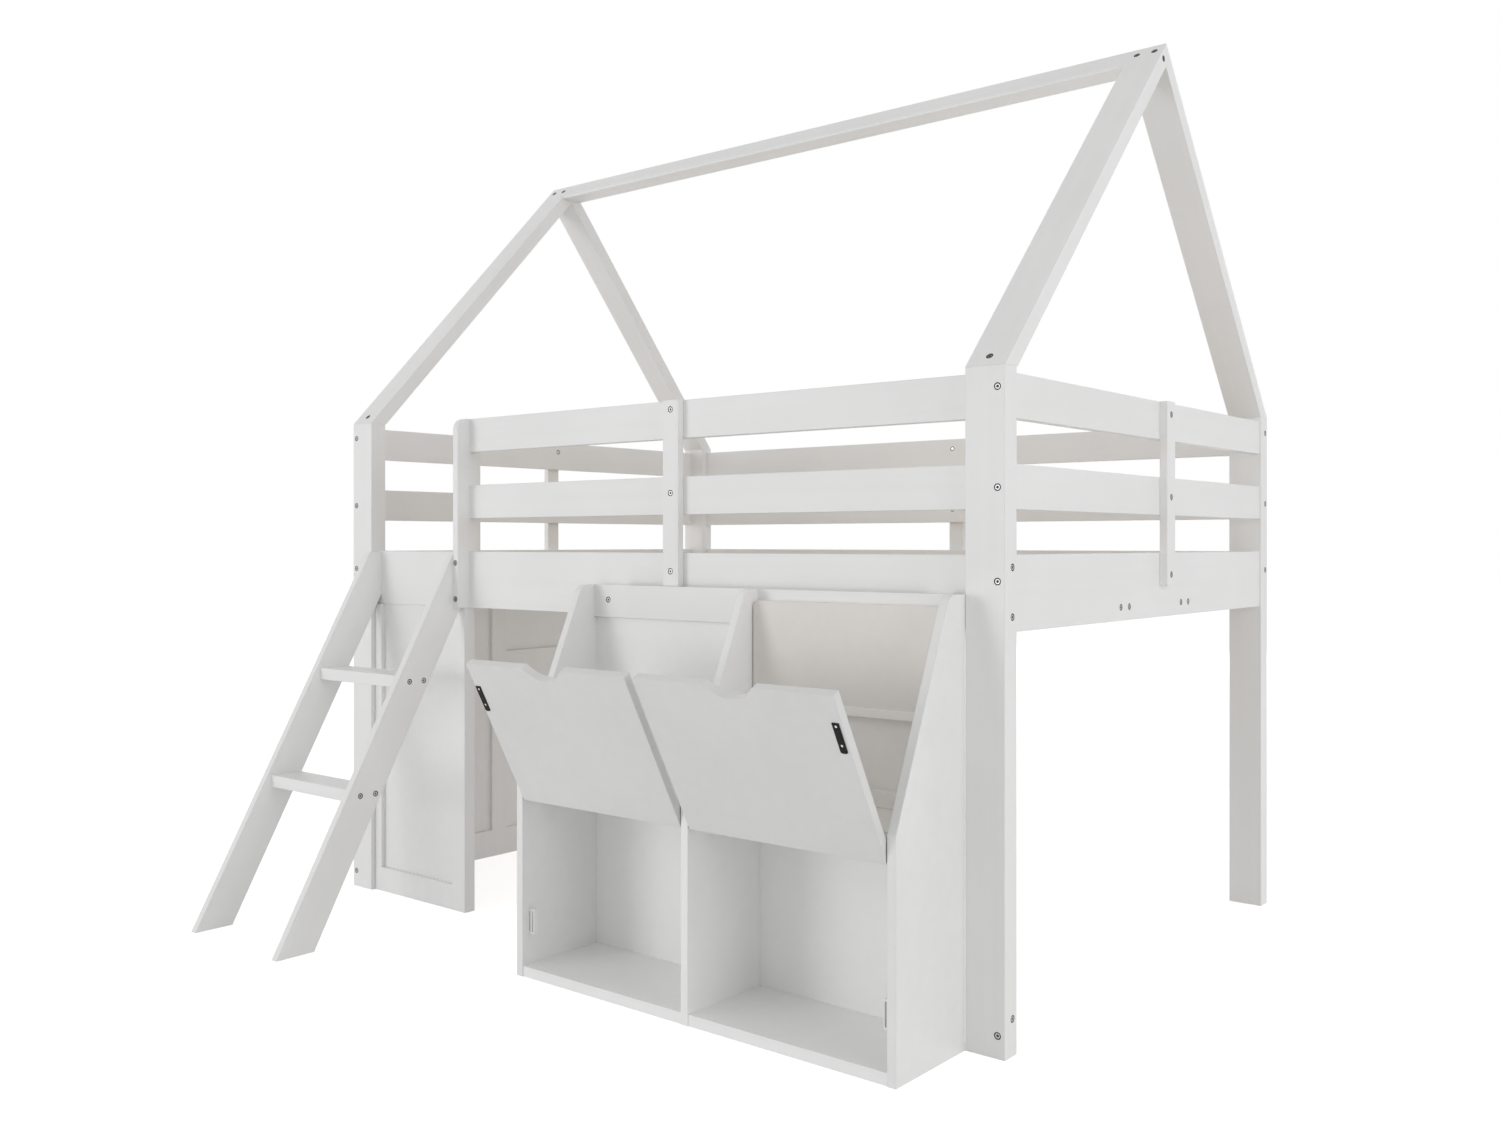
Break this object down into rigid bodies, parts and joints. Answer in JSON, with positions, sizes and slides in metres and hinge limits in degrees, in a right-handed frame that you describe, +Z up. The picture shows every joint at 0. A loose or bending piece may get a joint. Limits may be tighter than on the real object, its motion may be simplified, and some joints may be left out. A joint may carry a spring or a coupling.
{
  "type": "loft bed",
  "caption": "Low house-roofed loft bed with a leaning ladder, guard rails, a boarded den below and a front storage case whose two bin doors swing forward.",
  "frame": {"origin": "middle of the whole model's footprint, on the floor", "axes": "+X along the bed towards the end with the case, +Y from the ladder side to the back, +Z up"},
  "size_m": [2.018, 2.008, 2.081],
  "materials": {
    "white_paint": "satin white paint on wood",
    "bare_wood": "bare pine",
    "steel": "zinc-plated bolts",
    "black_metal": "black",
    "grey_plastic": "matte"
  },
  "bodies": {
    "frame": {"front_right_post": "white_paint", "front_left_post": "white_paint", "back_right_post": "white_paint", "back_left_post": "white_paint", "front_bed_rail": "white_paint", "back_bed_rail": "white_paint", "right_bed_rail": "white_paint", "left_bed_rail": "white_paint", "front_top_guard_rail": "white_paint", "front_middle_guard_rail": "white_paint", "back_top_guard_rail": "white_paint", "back_middle_guard_rail": "white_paint", "right_top_guard_rail": "white_paint", "right_middle_guard_rail": "white_paint", "left_top_guard_rail": "white_paint", "left_middle_guard_rail": "white_paint", "front_guard_post": "white_paint", "back_guard_post": "white_paint", "right_guard_post": "white_paint", "left_guard_post": "white_paint", "ladder_guard_post": "white_paint", "right_front_rafter": "white_paint", "right_back_rafter": "white_paint", "left_front_rafter": "white_paint", "left_back_rafter": "white_paint", "ridge_beam": "white_paint", "slat_ledges": "white_paint", "slat_beams": "white_paint", "slats": "bare_wood", "ladder_left_stile": "white_paint", "ladder_right_stile": "white_paint", "ladder_lower_step": "white_paint", "ladder_upper_step": "white_paint", "front_board_frame": "white_paint", "front_board_field": "white_paint", "end_wall_frame": "white_paint", "end_wall_fields": "white_paint", "case_left_side": "white_paint", "case_right_side": "white_paint", "case_divider": "white_paint", "case_floor": "white_paint", "case_deck": "white_paint", "case_back": "white_paint", "case_back_rail": "white_paint", "case_spacers": "white_paint", "bin_lower_battens": "white_paint", "bin_upper_battens": "white_paint", "bin_riser": "white_paint", "hinge_plates": "black_metal", "catches": "grey_plastic", "frame_bolts": "steel", "guard_bolts": "steel", "roof_bolts": "steel", "ladder_bolts": "steel"},
    "left_door": {"left_door": "white_paint", "left_door_plate": "black_metal"},
    "right_door": {"right_door": "white_paint", "right_door_plate": "black_metal"}
  },
  "joints": [
    {"name": "left_door_hinge", "type": "hinge", "parent": "frame", "child": "left_door", "pos_m": [0.1885, -0.7055, 0.4], "axis": [1, 0, 0], "range_deg": [-52, 151.9]},
    {"name": "right_door_hinge", "type": "hinge", "parent": "frame", "child": "right_door", "pos_m": [0.6655, -0.7055, 0.4], "axis": [1, 0, 0], "range_deg": [-52, 151.9]}
  ]
}
